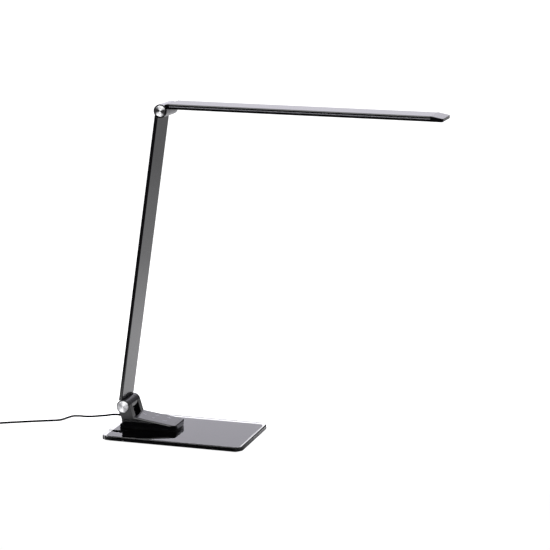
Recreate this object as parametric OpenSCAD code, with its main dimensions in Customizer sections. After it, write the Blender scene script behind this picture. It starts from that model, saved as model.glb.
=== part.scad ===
/* [Base plate] */
// Length of the base plate, back to front
plate_l = 200; // [185:1:240]
// Width of the base plate
plate_w = 124; // [100:1:160]
// Corner radius of the base plate
plate_corner = 11; // [6:0.5:14]
// Thickness of the glass
glass_t = 6; // [4:0.5:8]
// Bevel ground along the top edges of the glass
glass_bevel = 1.1; // [0.5:0.1:1.5]
// Thickness of the steel weight under the glass
weight_t = 1.5; // [1:0.5:5]
// How far the steel weight stays back from the edge, which leaves a clear rim
weight_inset = 5.5; // [4:0.5:10]
// Thickness of the anti-slip pad
pad_t = 1; // [1:0.1:2]
// How far the pad stays back from the edge of the weight
pad_inset = 1.5; // [1:0.5:6]

/* [Console] */
// Width of the console
console_w = 41; // [39:0.5:46]
// Distance from the lower hinge axis to the nose of the console
console_l = 77; // [70:0.5:90]
// Thickness of the foot under the housing
foot_t = 3; // [2.5:0.1:4]
// Height of the heel that the foot raises behind the housing
heel_h = 6; // [4.5:0.1:8]
// Depth of that heel
heel_d = 3; // [2:0.1:4]
// Height of the deck above the glass where it meets the ears
deck_h = 16.5; // [15.5:0.1:18]
// Slope of the deck towards the nose
deck_slope = 7.5; // [5:0.1:8]
// Corner radius of the nose seen from above
nose_corner = 11; // [7:0.5:12]
// How far the front of the nose leans back towards the deck
nose_lean = 2.6; // [1:0.1:3]
// Radius along the two long edges of the deck
deck_edge = 2; // [1:0.1:2.5]
// Wall of the housing
housing_wall = 2; // [1.6:0.1:2.4]
// Thickness of the touch panel
panel_t = 1.2; // [0.8:0.1:1.4]
// Width of the border left round the touch panel
panel_border = 2.6; // [2.2:0.1:4]
// Width of the insert in the nose
insert_w = 25; // [18:0.5:26]
// Depth of the insert at the bottom of the nose
insert_d = 4.5; // [4.2:0.1:5.5]

/* [Hinges] */
// Distance of the lower hinge axis from the back edge of the plate
hinge_inset = 17.5; // [17:0.5:24]
// Height of the lower hinge axis above the glass
hinge_h = 30; // [29:0.5:33]
// Radius of the console's ears round the lower hinge
ear_r = 9.6; // [9:0.1:10]
// Thickness of each ear, and of each lug on the head
ear_t = 10; // [9:0.1:11]
// Lean of the front of the ears from upright
ear_lean = 17; // [14:0.5:19]
// Radius of the hollow curve at the back of the ears
waist_r = 30; // [24:1:40]
// Radius of the bright barrel of the upper hinge
barrel_r = 9; // [8.6:0.1:9.4]
// Gap between the knuckles of a hinge
knuckle_gap = 0.3; // [0.3:0.05:0.5]
// Diameter of the hinge axles
axle_d = 6; // [5:0.1:6.4]
// Radial clearance of an axle in its bushes
axle_fit = 0.05; // [0.02:0.01:0.09]
// Diameter of the spun cover discs
disc_d = 15.4; // [14.8:0.1:15.8]
// How far the cover discs stand out of the hinge
disc_proud = 2; // [1.4:0.1:2.5]

/* [Arm] */
// Distance between the two hinge axes
arm_pitch = 412.6; // [390:0.1:450]
// Lean of the arm from upright, as it stands
arm_lean = 8.33; // [0:0.01:20]
// Width of the arm bar
arm_w = 45; // [42:0.5:47]
// Thickness of the arm bar
arm_t = 4.9; // [4.6:0.1:5.2]
// How far the middle of the bar lies behind the line between the axes
arm_set = 4.55; // [4.4:0.05:4.8]
// Distance from each hinge axis to where the groove's fittings start
bar_gap = 10.3; // [10.2:0.1:12]
// Width of the groove along the back of the bar
groove_w = 20.4; // [16:0.1:20.4]
// Length of the tongue that each knuckle puts into the groove
tongue_l = 24; // [18:0.5:32]

/* [Head] */
// Reach of the head from the upper hinge axis to its tip
head_l = 379; // [340:1:390]
// Width of the head
head_w = 43; // [41:0.5:46]
// Thickness of the head
head_t = 7.1; // [7:0.1:9]
// Space between the upper hinge axis and the underside of the head
head_rise = 2.7; // [2.4:0.1:3.2]
// How much the head hangs down from level, as it stands
head_droop = 0.45; // [0:0.05:3]
// Thickness of the top cover of the head, along its sides
cover_t = 2.8; // [2.6:0.1:3.2]
// Thickness of the grey rail between cover and bezel
rail_t = 1.2; // [1:0.1:1.4]
// Distance from the upper hinge axis to the start of the head's cover
root_end = 12; // [11.5:0.1:14]
// Length of the cap at the tip of the head
tip_cap_l = 16.5; // [14:0.5:20]
// Thickness of the tip at its very end
tip_t = 4.4; // [4:0.1:5]
// Thickness of the opal diffuser
diffuser_t = 1.3; // [1:0.1:1.5]
// Width of the opal diffuser
diffuser_w = 36; // [32:0.5:37]
// Width of the strip of lights
strip_w = 30; // [24:0.5:32]
// Number of lights in each of the two rows
lights_n = 24; // [12:1:30]

/* [Supply lead] */
// Diameter of the supply lead
lead_d = 2.8; // [2.6:0.1:2.9]
// Height of the lead's outlet above the glass
outlet_h = 12; // [11.8:0.1:12.2]
// Length of the strain relief outside the housing
relief_l = 12.5; // [12:0.1:13]
// Radius of the coil's innermost turn
coil_inner = 11.2; // [11.2:0.1:13]
// Turns of the coil in each layer
coil_turns = 3; // [2:1:4]
// Layers of the coil
coil_layers = 4; // [2:2:4]
// Length of the plug-in power supply
adapter_l = 50; // [44:1:60]
// Width of the plug-in power supply
adapter_w = 38; // [32:1:44]

/* [Hidden] */
$fn = 48;
tiny = 0.01;
far = 500;
slip = 0.15; // clearance round what is laid into a recess

// Colours
gloss_black = "#101013";
satin_black = "#1b1b1e";
dark_grey = "#3a3a3f";
bright_metal = "#c9cbd0";
steel = "#8f9296";
opal = "#f2f1ec";

// Heights through the base
plate_top = pad_t + weight_t + glass_t;
glass_bottom = pad_t + weight_t;
housing_bottom = plate_top + foot_t;

// Hinge axes
lower_x = -plate_l / 2 + hinge_inset;
lower_z = plate_top + hinge_h;
upper_x = lower_x + arm_pitch * sin(arm_lean);
upper_z = lower_z + arm_pitch * cos(arm_lean);
slot_w = console_w - 2 * ear_t;
knuckle_w = slot_w - 2 * knuckle_gap;
lower_barrel_r = ear_r - 0.2;

// Console outline
waist_back = 2; // from the hinge axis back to the upright rear wall
rear_x = lower_x - waist_back;
nose_x = lower_x + console_l;
deck_front_x = nose_x - nose_lean;
waist_x = rear_x - waist_r;
waist_z = lower_z - sqrt(pow(ear_r + waist_r, 2) - pow(lower_x - waist_x, 2));
ear_front = [lower_x + ear_r * cos(ear_lean), lower_z + ear_r * sin(ear_lean)];
ear_back = [lower_x, lower_z] + ear_r / (ear_r + waist_r) * [waist_x - lower_x, waist_z - lower_z];
deck_z = plate_top + deck_h;
ear_foot_x = ear_front[0] + (ear_front[1] - deck_z) * tan(ear_lean);
slot_floor = deck_z - 1.5;
nose_bow = 60; // radius of the nose's face seen from above
panel_back = nose_lean + 0.6; // how much further back the panel ends than the nose
insert_drop = 0.9; // depth of the insert's recess below the deck's front edge
insert_gap = 0.7; // dark joint left open round the face of the insert
function deck_at(x) = deck_z - (x - ear_foot_x) * tan(deck_slope);

// Screws that hold the console down
screw_d = 4;
screw_head_d = 8;
screw_head_t = 0.9;
screw_places = [[lower_x + 5.5, 14], [lower_x + 5.5, -14], [lower_x + 53, 12.5], [lower_x + 53, -12.5]];
screw_reach = 4; // length of thread in the housing

// Small screws of the arm and the head
small_screw_d = 2.46;
small_hole_d = 2.5;
screw_cap_d = 4.2;
screw_cap_t = 0.7;

// Touch springs stand under the marks of the panel, measured from the ears' foot
key_places = [[9, 0], [24.5, 7.5], [24.5, -7.5], [41, 7.5], [41, -7.5]];
spring_hole_d = 5;
board_t = 1.2;
board_z = housing_bottom + 0.9;

// Hinge stacks, as distances from the middle of the lamp
ear_out = console_w / 2;
disc_seat = 1.2; // depth of the recess that a disc lies in
pocket_d = 12;
pocket_floor = ear_out - 6.4;
nut_t = 3.2;
washer_t = 0.6;
axle_head_d = 10.4;
axle_head_t = 2.6;
bush_d = axle_d + 2;
ring_seat_r = disc_d / 2 - 0.3; // the black end rings of the upper hinge hold smaller discs
ring_floor = 0.6;

// Arm bar, in the arm's own frame: hinge axis at the origin, Z along the arm
bar_front = -arm_set + arm_t / 2;
bar_back = -arm_set - arm_t / 2;
bar_l = arm_pitch - 2 * bar_gap;
bar_hug = 0.6; // the ends of the bar follow the round of the hinges at this distance
strip_t = 1.2;
groove_step = 4.4; // width of the ledge that carries the back strip, each side
cable_t = 1;
cable_w = 6;
tongue_slip = 0.1;
tongue_root = 4.5; // the tongues start inside the barrels
screw_bite = 1.3; // depth of thread in the floor of the groove
arm_screw_places = [9, 18]; // from the ends of the groove's fittings

// Head, in the head's own frame: hinge axis at the origin, X along the head
head_bottom = head_rise;
head_top = head_rise + head_t;
rail_top = head_top - cover_t;
rail_bottom = rail_top - rail_t;
body_x0 = root_end;
body_x1 = head_l - tip_cap_l;
root_hug_r = barrel_r + 0.85; // hollow end of the root cap, round the barrel
web_end = root_end - 1;
web_top = 8;
head_tongue_x = 8; // the tongue starts inside the webs
cover_wall = 1.5; // side walls of the cover
cover_roof = 1.5; // top wall of the cover
bezel_lip = 0.8;
rail_inset = 0.5; // the rail stays back from the sides
board_roof = head_top - cover_roof;
strip_board_t = 1;
strip_x0 = body_x0 + 18;
strip_x1 = body_x1 - 10;
chip = [3.5, 2.8, 0.7];
head_tongue_l = 14;
head_tongue_t = 1.2;
head_tongue_z = board_roof - head_tongue_t - 0.05;
head_tongue_w = 34;
head_screw_bite = 0.9; // depth of thread in the cover

// Supply lead: points of its centre line, with X from the tip of the strain relief. It drops from
// the outlet, swings round behind the lamp and rises a little at the end to lie on the coil's tie.
outlet_z = plate_top + outlet_h;
lead_r = lead_d / 2;
lead_points = [[0, 0, 20.5], [-3, 0, 20.5], [-10, -0.9, 20], [-19, -0.1, 17.9], [-28, 2.8, 15.8],
    [-36, 5.7, 13.7], [-44, 9.5, 11.6], [-52, 14.4, 9.5], [-60, 20.2, 7.4], [-68, 25.5, 5.8],
    [-75.5, 29.3, 4.2], [-82, 30.4, 3.1], [-87, 26.6, 2], [-90, 20.2, 1.6], [-93, 13.7, 1.5],
    [-98, 9.2, 1.5], [-106, 5.7, 1.5], [-114, 1.7, 1.5], [-122, -2.3, 1.5], [-130, -6.3, 1.5],
    [-138, -10.3, 1.5], [-146, -14.8, 1.5], [-154, -18.8, 1.5], [-162, -23.3, 1.5],
    [-170, -27.8, 1.5], [-178, -31.3, 1.6], [-186, -33.8, 1.8], [-193, -35.3, 2.1],
    [-197, -35.8, 2.3], [-200, -35.8, 2.3]];
relief_tip_x = rear_x - relief_l;
relief_plug_r = 2.1; // the part inside the outlet
relief_flange_r = 3.1;
lead_rise = outlet_z / lead_points[0][2]; // the heights follow the outlet's height
lead_route = [for (p = lead_points)
    [relief_tip_x + p[0], p[1], max(p[2] * lead_rise, lead_r + 0.1)]];
lead_end = lead_route[len(lead_route) - 1];
coil_pitch = lead_d + 0.5;
coil_outer = coil_inner + coil_turns * coil_pitch;
coil_x = lead_end[0] - 3;
coil_y = lead_end[1] - coil_outer;
coil_z = lead_end[2];
coil_rings = 24;
climb = 0.25; // turns before and after a reversal in which the lead climbs to the next layer
coil_total = coil_turns * coil_layers;
tail_z = coil_z + (coil_layers - 1) * coil_pitch;
tail_l = 12;
adapter_relief_l = 12;
adapter_x = coil_x - tail_l - adapter_relief_l;
adapter_t = 2 * tail_z;
blade = [17, 1.5, 6.3];
blade_pitch = 12.7;

// Puts a drawing of X and height across the lamp, w wide
module across(w) {
    rotate([90, 0, 0]) linear_extrude(w, center = true) children();
}

// Puts a drawing of width and height along X, from x0 to x1
module along(x0, x1) {
    translate([x0, 0, 0]) rotate([90, 0, 90]) linear_extrude(x1 - x0) children();
}

// A round bar across the lamp, from y0 to y1
module cross_pin(r, y0, y1) {
    translate([0, y1, 0]) rotate([90, 0, 0]) cylinder(r = r, h = y1 - y0);
}

module mirrored_y() {
    children();
    mirror([0, 1, 0]) children();
}

module at_lower() {
    translate([lower_x, 0, lower_z]) children();
}

module at_upper() {
    translate([upper_x, 0, upper_z]) children();
}

// Arm frame at the lower hinge, and the same frame moved up to the upper hinge
module on_arm() {
    at_lower() rotate([0, arm_lean, 0]) children();
}

// Where the arm's screws stand, in the arm's frame
module at_arm_screws() {
    for (z = arm_screw_places) for (end = [bar_gap + z, arm_pitch - bar_gap - z])
        translate([0, 0, end]) children();
}

module on_arm_top() {
    at_upper() rotate([0, arm_lean, 0]) children();
}

module on_head() {
    at_upper() rotate([0, head_droop, 0]) children();
}

module at_head_screws() {
    for (y = [-12, 12]) translate([body_x0 + 8, y, 0]) children();
}

// A rectangle with round corners about the origin
module rounded(l, w, r) {
    square([l - 2 * r, w], center = true);
    square([l, w - 2 * r], center = true);
    for (sx = [-1, 1], sy = [-1, 1])
        translate([sx * (l / 2 - r), sy * (w / 2 - r)]) circle(r = r);
}

// Plan of the console, drawn in by e all round and by back at its nose, starting at x0
module console_plan(x0, e, back = 0) {
    w = console_w - 2 * e;
    x1 = nose_x - e - back;
    r = max(nose_corner - e, 1);
    intersection() {
        union() {
            translate([x0, -w / 2]) square([x1 - r - x0, w]);
            translate([x0, -w / 2 + r]) square([x1 - x0, w - 2 * r]);
            for (s = [-1, 1]) translate([x1 - r, s * (w / 2 - r)]) circle(r = r);
        }
        translate([x1 - nose_bow, 0]) circle(r = nose_bow, $fn = 96);
    }
}

// Base

// The screws' heads lie in holes of the pad
module anti_slip_pad() {
    inset = weight_inset + pad_inset;
    color(dark_grey) linear_extrude(pad_t) difference() {
        rounded(plate_l - 2 * inset, plate_w - 2 * inset, max(plate_corner - inset, 1));
        for (p = screw_places) translate(p) circle(d = screw_head_d + 2);
    }
}

module base_weight() {
    inset = weight_inset;
    color(satin_black) translate([0, 0, pad_t]) linear_extrude(weight_t) difference() {
        rounded(plate_l - 2 * inset, plate_w - 2 * inset, max(plate_corner - inset, 1));
        for (p = screw_places) translate(p) circle(d = screw_d + 0.4);
    }
}

// One bevelled section of the glass, l long
module bevelled(l) {
    b = glass_bevel;
    polygon([[-l / 2, glass_bottom], [l / 2, glass_bottom], [l / 2, plate_top - b],
        [l / 2 - b, plate_top], [b - l / 2, plate_top], [-l / 2, plate_top - b]]);
}

module glass_plate() {
    color(gloss_black) difference() {
        intersection() {
            translate([0, 0, glass_bottom]) linear_extrude(glass_t)
                rounded(plate_l, plate_w, plate_corner);
            across(plate_w + 1) bevelled(plate_l);
            along(-plate_l, plate_l) bevelled(plate_w);
        }
        for (p = screw_places) translate([p[0], p[1], 0]) cylinder(d = screw_d + 1, h = far);
    }
}

module base_screws() {
    slot = [4.4, 0.9, 0.9]; // one arm of the cross in the head
    color(steel) for (p = screw_places) translate([p[0], p[1], pad_t - screw_head_t]) {
        difference() {
            cylinder(d = screw_head_d, h = screw_head_t);
            for (a = [0, 90]) rotate(a) cube(slot, center = true);
        }
        cylinder(d = screw_d, h = screw_head_t + housing_bottom - pad_t + screw_reach - 0.3);
    }
}

// Console

module console_foot() {
    side_in = 0.4; // the foot stays back from the sides of the housing
    chamfer = 1;
    boss_d = 11;
    rib_t = 1.6;
    heel_x = rear_x - heel_d;
    heel_top = plate_top + heel_h;
    color(gloss_black) difference() {
        union() {
            translate([0, 0, plate_top]) linear_extrude(foot_t) console_plan(heel_x, side_in);
            across(console_w - 2 * side_in) polygon([[heel_x, plate_top], [heel_x, heel_top - chamfer],
                [heel_x + chamfer, heel_top], [rear_x - 0.2, heel_top], [rear_x - 0.2, plate_top]]);
        }
        for (p = screw_places) translate([p[0], p[1], 0]) cylinder(d = screw_d + 0.4, h = far);
        // hollow between the bosses and the ribs
        translate([0, 0, plate_top - tiny]) linear_extrude(foot_t - 1.2) difference() {
            console_plan(rear_x + 5, 3);
            for (p = screw_places) translate(p) circle(d = boss_d);
            for (x = [14, 30, 66]) translate([lower_x + x, 0]) square([rib_t, far], center = true);
            translate([lower_x + 35, 0]) square([console_l, rib_t], center = true);
        }
    }
}

// Side view of the ears
module ear_side() {
    difference() {
        union() {
            translate([lower_x, lower_z]) circle(r = ear_r, $fn = 96);
            polygon([[lower_x, lower_z], ear_front, [ear_foot_x, deck_z], [ear_foot_x, housing_bottom],
                [rear_x, housing_bottom], [rear_x, waist_z], ear_back]);
        }
        translate([waist_x, waist_z]) circle(r = waist_r, $fn = 128);
    }
}

// Side view of the deck; the face of the nose leans back
module deck_side() {
    polygon([[rear_x + 6, housing_bottom], [nose_x - 0.3, housing_bottom],
        [deck_front_x, deck_at(deck_front_x)], [ear_foot_x, deck_z], [rear_x + 6, deck_z]]);
}

// Long block with rounded upper edges whose top is the plane of the deck
module deck_block() {
    r = deck_edge;
    w = console_w;
    translate([ear_foot_x, 0, deck_z]) rotate([0, deck_slope, 0]) along(-40, console_l + 40) {
        translate([-w / 2, -60]) square([w, 60 - r]);
        translate([r - w / 2, -60]) square([w - 2 * r, 60]);
        for (s = [-1, 1]) translate([s * (w / 2 - r), -r]) circle(r = r);
    }
}

// What the touch panel takes out of the deck, with slack round it
module panel_space(slack) {
    x0 = ear_foot_x + panel_border;
    intersection() {
        translate([ear_foot_x, 0, deck_z]) rotate([0, deck_slope, 0])
            translate([0, -far / 2, -panel_t]) cube([far, far, far]);
        translate([0, 0, housing_bottom]) linear_extrude(far)
            console_plan(x0 - slack, panel_border - slack, panel_back);
    }
}

// Recess of the nose insert, with slack round it
module insert_space(slack) {
    top = deck_at(deck_front_x) - insert_drop + slack;
    translate([nose_x - insert_d - slack, -insert_w / 2 - slack, housing_bottom - 1])
        cube([far, insert_w + 2 * slack, top - housing_bottom + 1]);
}

module console_housing() {
    boss_r = 4.5;
    cavity_x0 = lower_x + 15;
    cavity_x1 = nose_x - insert_d - 3;
    roof = panel_t + 1.6;
    color(gloss_black) difference() {
        union() {
            intersection() {
                across(console_w) ear_side();
                translate([0, 0, housing_bottom]) linear_extrude(far) console_plan(rear_x - 40, 0);
            }
            intersection() {
                across(console_w) deck_side();
                translate([0, 0, housing_bottom]) linear_extrude(far) console_plan(rear_x, 0);
                deck_block();
            }
        }
        // slot for the arm's knuckle
        across(slot_w) polygon([[rear_x - 40, slot_floor], [ear_foot_x - 1.2, slot_floor],
            [ear_foot_x, deck_z], [ear_foot_x + 20, deck_z], [ear_foot_x + 20, far], [rear_x - 40, far]]);
        // bore, pockets and disc seats of the hinge
        at_lower() {
            cross_pin(axle_d / 2 + axle_fit, -far / 2, far / 2);
            mirrored_y() {
                cross_pin(disc_d / 2 + slip, ear_out - disc_seat, far / 2);
                cross_pin(pocket_d / 2, pocket_floor, far / 2);
            }
        }
        // hollow for the control board, around the bosses
        difference() {
            across(console_w - 2 * housing_wall) polygon([[cavity_x0, housing_bottom - 1],
                [cavity_x1, housing_bottom - 1], [cavity_x1, deck_at(cavity_x1) - roof],
                [cavity_x0, deck_at(cavity_x0) - roof]]);
            for (p = screw_places) translate([p[0], p[1], 0]) cylinder(r = boss_r, h = far);
        }
        for (k = key_places) translate([ear_foot_x + k[0], k[1], housing_bottom + 2])
            cylinder(d = spring_hole_d, h = far);
        for (p = screw_places) translate([p[0], p[1], housing_bottom - 1])
            cylinder(d = screw_d + 0.04, h = 1 + screw_reach);
        panel_space(slip);
        insert_space(slip);
        // outlet of the lead, through to the hollow, with a seat for the relief's flange
        translate([rear_x - 1, 0, outlet_z]) rotate([0, 90, 0]) cylinder(r = relief_plug_r + slip, h = 22);
        translate([rear_x, 0, outlet_z]) rotate([0, -90, 0]) cylinder(r = relief_flange_r + slip, h = 10);
    }
}

module touch_panel() {
    color(gloss_black) intersection() {
        panel_space(0);
        translate([ear_foot_x, 0, deck_z]) rotate([0, deck_slope, 0])
            translate([0, -far / 2, -far]) cube([far, far, far]);
    }
}

module touch_springs() {
    z0 = board_z + board_t;
    color(steel) for (k = key_places) {
        x = ear_foot_x + k[0];
        top = deck_at(x) - panel_t - 0.35;
        translate([x, k[1], z0]) {
            cylinder(d = 3.6, h = 0.8);
            cylinder(d = 2.4, h = top - z0);
            translate([0, 0, top - z0 - 0.6]) cylinder(d = 4, h = 0.6);
        }
    }
}

module control_board() {
    x0 = lower_x + 16;
    x1 = lower_x + 48;
    color("#1d4f35") translate([x0, -15, board_z]) cube([x1 - x0, 30, board_t]);
    // cross ribs of the foot carry it on four small posts
    color("#1d4f35") for (x = [x0 + 2, x1 - 2], y = [-13, 13])
        translate([x, y, housing_bottom]) cylinder(d = 2.4, h = board_z - housing_bottom);
    color(satin_black) translate([x0 + 10, -3, board_z + board_t]) cube([6, 6, 0.9]);
}

// A back plate that fills the recess, and a smaller block in front that stands level with the nose
module nose_insert() {
    plate = 1;
    color(satin_black) intersection() {
        union() {
            intersection() {
                insert_space(0);
                translate([-far, -far / 2, 0]) cube([far + nose_x - insert_d + plate, far, far]);
            }
            insert_space(-insert_gap);
        }
        across(console_w) deck_side();
        translate([0, 0, housing_bottom + 0.05]) linear_extrude(far) console_plan(rear_x, 0.15);
    }
}

// Hinge hardware, the same at both hinges

module hinge_axle() {
    end = pocket_floor + 2 * washer_t + nut_t + 0.6;
    cross_pin(axle_d / 2, -pocket_floor - tiny, end);
    difference() {
        cross_pin(axle_head_d / 2, -pocket_floor - axle_head_t, -pocket_floor);
        translate([0, -pocket_floor - axle_head_t, 0]) rotate([90, 0, 0])
            cylinder(d = 4.6, h = 2.8, center = true, $fn = 6);
    }
}

module friction_washers() {
    for (i = [0, 1]) difference() {
        y0 = pocket_floor + i * washer_t;
        cross_pin(axle_head_d / 2, y0, y0 + washer_t - 0.02);
        cross_pin(axle_d / 2 + 0.02, 0, ear_out);
    }
}

module lock_nut() {
    y0 = pocket_floor + 2 * washer_t;
    difference() {
        translate([0, y0 + nut_t, 0]) rotate([90, 0, 0]) cylinder(d = 11.2, h = nut_t, $fn = 6);
        cross_pin(axle_d / 2 + 0.02, 0, ear_out);
    }
}

module hinge_bushes() {
    mirrored_y() difference() {
        cross_pin(bush_d / 2, 0.6, knuckle_w / 2);
        cross_pin(axle_d / 2 + axle_fit, 0, ear_out);
    }
}

module lower_axle() {
    color(steel) at_lower() hinge_axle();
}

module lower_friction_washers() {
    color(bright_metal) at_lower() friction_washers();
}

module lower_lock_nut() {
    color(steel) at_lower() lock_nut();
}

module lower_bushes() {
    color(dark_grey) at_lower() hinge_bushes();
}

// Dished disc of radius r with a bevelled rim, from y0 out to its face
module cover_disc(r, y0) {
    edge = 0.5;
    hub_r = 1.2;
    dish = 0.25;
    h = ear_out + disc_proud - y0;
    translate([0, y0, 0]) rotate([-90, 0, 0]) rotate_extrude($fn = 96)
        polygon([[0, 0], [r, 0], [r, h - edge], [r - edge, h], [r - 1.2, h], [hub_r, h - dish],
            [0, h - dish]]);
}

module lower_cover_discs() {
    color(bright_metal) at_lower() mirrored_y() cover_disc(disc_d / 2, ear_out - disc_seat);
}

// Arm

// Section of the groove along the bar's back, less s all round; the inner half is narrower
module groove_section(s) {
    w = groove_w - 2 * s;
    deep = 2 * strip_t - s;
    translate([bar_back - 1 + s, -w / 2]) square([strip_t + 1 - s, w]);
    translate([bar_back, groove_step - w / 2]) square([deep, w - 2 * groove_step]);
}

// Both ends of the bar are hollowed to follow the hinges
module arm_bar() {
    r = 1.2;
    end = bar_gap / 2;
    hole = 2 * strip_t + screw_bite + 0.1;
    color(satin_black) on_arm() difference() {
        translate([-arm_set, 0, end]) linear_extrude(arm_pitch - 2 * end) rounded(arm_t, arm_w, r);
        linear_extrude(arm_pitch) groove_section(0);
        cross_pin(ear_r + bar_hug, -arm_w, arm_w, $fn = 96);
        translate([0, 0, arm_pitch]) cross_pin(barrel_r + bar_hug, -arm_w, arm_w, $fn = 96);
        at_arm_screws() translate([bar_back, 0, 0]) rotate([0, 90, 0]) cylinder(d = small_hole_d, h = hole);
    }
}

// Centre knuckle of a hinge: a barrel and the tongue that enters the bar's groove.
// It is drawn with the arm leading away along +Z.
module arm_knuckle(r) {
    tongue_end = bar_gap + tongue_l;
    difference() {
        union() {
            cross_pin(r, -knuckle_w / 2, knuckle_w / 2);
            intersection() {
                linear_extrude(tongue_end) groove_section(tongue_slip);
                translate([bar_back + 0.1, -far / 2, tongue_root]) cube([far, far, far]);
            }
        }
        cross_pin(bush_d / 2, -far / 2, far / 2);
        for (z = arm_screw_places) translate([0, 0, bar_gap + z]) rotate([0, -90, 0])
            cylinder(d = small_hole_d, h = far);
    }
}

module arm_lower_knuckle() {
    color(satin_black) on_arm() arm_knuckle(lower_barrel_r);
}

module arm_upper_knuckle() {
    color(bright_metal) on_arm_top() mirror([0, 0, 1]) arm_knuckle(barrel_r);
}

module arm_cable() {
    color(opal) on_arm() translate([bar_back + strip_t + 0.05, -cable_w / 2, bar_gap + tongue_l + 0.1])
        cube([cable_t, cable_w, bar_l - 2 * tongue_l - 0.2]);
}

module arm_back_strip() {
    color(gloss_black) on_arm()
        translate([bar_back, tongue_slip - groove_w / 2, bar_gap + tongue_l + 0.1])
        cube([strip_t, groove_w - 2 * tongue_slip, bar_l - 2 * tongue_l - 0.2]);
}

module arm_screws() {
    color(steel) on_arm() at_arm_screws() translate([bar_back + 0.1, 0, 0]) rotate([0, 90, 0]) {
        cylinder(d = small_screw_d, h = 2 * strip_t + screw_bite - 0.1);
        translate([0, 0, -screw_cap_t]) cylinder(d = screw_cap_d, h = screw_cap_t);
    }
}

module upper_bushes() {
    color(dark_grey) at_upper() hinge_bushes();
}

module upper_axle() {
    color(steel) at_upper() hinge_axle();
}

module upper_friction_washers() {
    color(bright_metal) at_upper() friction_washers();
}

module upper_lock_nut() {
    color(steel) at_upper() lock_nut();
}

// Head

// What joins the lugs and the head: two webs and the tongue on them, with slack round them
module head_link(slack) {
    web_y0 = slot_w / 2 + 1;
    web_w = head_tongue_w / 2 - web_y0 + 2 * slack;
    z0 = head_bottom + 1 - slack;
    z1 = web_top + slack;
    mirrored_y() translate([0, web_y0 - slack + web_w / 2, 0]) across(web_w)
        polygon([[0, z0], [web_end + slack, z0], [web_end + slack, z1], [head_tongue_x, z1], [4, z1 - 1.2]]);
    translate([head_tongue_x - slack, -head_tongue_w / 2 - slack, head_tongue_z - slack])
        cube([root_end + head_tongue_l - head_tongue_x + 2 * slack, head_tongue_w + 2 * slack,
            head_tongue_t + 2 * slack]);
}

module head_knuckle() {
    color(bright_metal) on_head() difference() {
        union() {
            mirrored_y() cross_pin(barrel_r, slot_w / 2, slot_w / 2 + ear_t);
            head_link(0);
        }
        cross_pin(axle_d / 2 + axle_fit, -far / 2, far / 2);
        mirrored_y() cross_pin(pocket_d / 2, pocket_floor, far / 2);
        at_head_screws() cylinder(d = small_hole_d, h = far);
    }
}

module upper_end_rings() {
    collar_r = pocket_d / 2 - slip; // the collar centres the ring in the lug's pocket
    color(gloss_black) at_upper() mirrored_y() difference() {
        union() {
            cross_pin(barrel_r - 0.05, ear_out, ear_out + disc_proud - 0.2);
            cross_pin(collar_r, ear_out - 1.2, ear_out + tiny);
        }
        cross_pin(ring_seat_r + slip, ear_out + ring_floor, far);
        cross_pin(collar_r - 0.9, 0, ear_out - 0.2);
    }
}

// The upper discs are a little smaller than the lower ones, to lie inside their rings
module upper_cover_discs() {
    color(bright_metal) at_upper() mirrored_y() cover_disc(ring_seat_r, ear_out + ring_floor);
}

// Cap whose hollow end lies round the barrel
module head_root_cap() {
    r = 0.8;
    x0 = 5;
    color(gloss_black) on_head() difference() {
        intersection() {
            along(x0, body_x0) translate([0, head_bottom + head_t / 2]) rounded(head_w, head_t, r);
            across(head_w) polygon([[x0, head_bottom], [body_x0, head_bottom], [body_x0, head_top],
                [body_x0 - 2, head_top], [x0, head_top - 1.7]]);
        }
        cross_pin(root_hug_r, -head_w, head_w, $fn = 96);
        head_link(slip);
    }
}

// Section of the top cover: a flat roof with short side walls and rounded upper corners
module cover_section() {
    r = 1.4;
    w = head_w;
    inner = w - 2 * cover_wall;
    difference() {
        union() {
            translate([-w / 2, rail_top]) square([w, cover_t - r]);
            translate([r - w / 2, rail_top]) square([w - 2 * r, cover_t]);
            for (s = [-1, 1]) translate([s * (w / 2 - r), head_top - r]) circle(r = r);
        }
        translate([-inner / 2, rail_top - 1]) square([inner, cover_t - cover_roof + 1]);
    }
}

module head_cover() {
    color(gloss_black) on_head() difference() {
        along(body_x0, body_x1) cover_section();
        at_head_screws() translate([0, 0, board_roof - 1])
            cylinder(d = small_hole_d, h = 1 + head_screw_bite);
    }
}

module head_rail() {
    l = body_x1 - body_x0;
    w = head_w - 2 * rail_inset;
    color(dark_grey) on_head() difference() {
        translate([body_x0, -w / 2, rail_bottom]) cube([l, w, rail_t]);
        translate([body_x0 + 3, 2.2 - w / 2, rail_bottom - 1]) cube([l - 6, w - 4.4, rail_t + 2]);
    }
}

module head_bezel() {
    l = body_x1 - body_x0;
    r = 0.8;
    top = rail_bottom;
    lip_w = diffuser_w - 2;
    color(gloss_black) on_head() difference() {
        along(body_x0, body_x1) {
            translate([r - head_w / 2, head_bottom]) square([head_w - 2 * r, top - head_bottom]);
            translate([-head_w / 2, head_bottom + r]) square([head_w, top - head_bottom - r]);
            for (s = [-1, 1]) translate([s * (head_w / 2 - r), head_bottom + r]) circle(r = r);
        }
        // window, and the wider pocket above it that the diffuser lies in
        translate([body_x0 + 6, -lip_w / 2, 0]) cube([l - 12, lip_w, far]);
        translate([body_x0 + 5, -diffuser_w / 2 - slip, head_bottom + bezel_lip])
            cube([l - 10, diffuser_w + 2 * slip, far]);
    }
}

module head_diffuser() {
    l = body_x1 - body_x0 - 10 - 2 * slip;
    color(opal) on_head() translate([body_x0 + 5 + slip, -diffuser_w / 2, head_bottom + bezel_lip])
        cube([l, diffuser_w, diffuser_t]);
}

module light_board() {
    color("white") on_head() translate([strip_x0, -strip_w / 2, board_roof - strip_board_t])
        cube([strip_x1 - strip_x0, strip_w, strip_board_t]);
}

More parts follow.
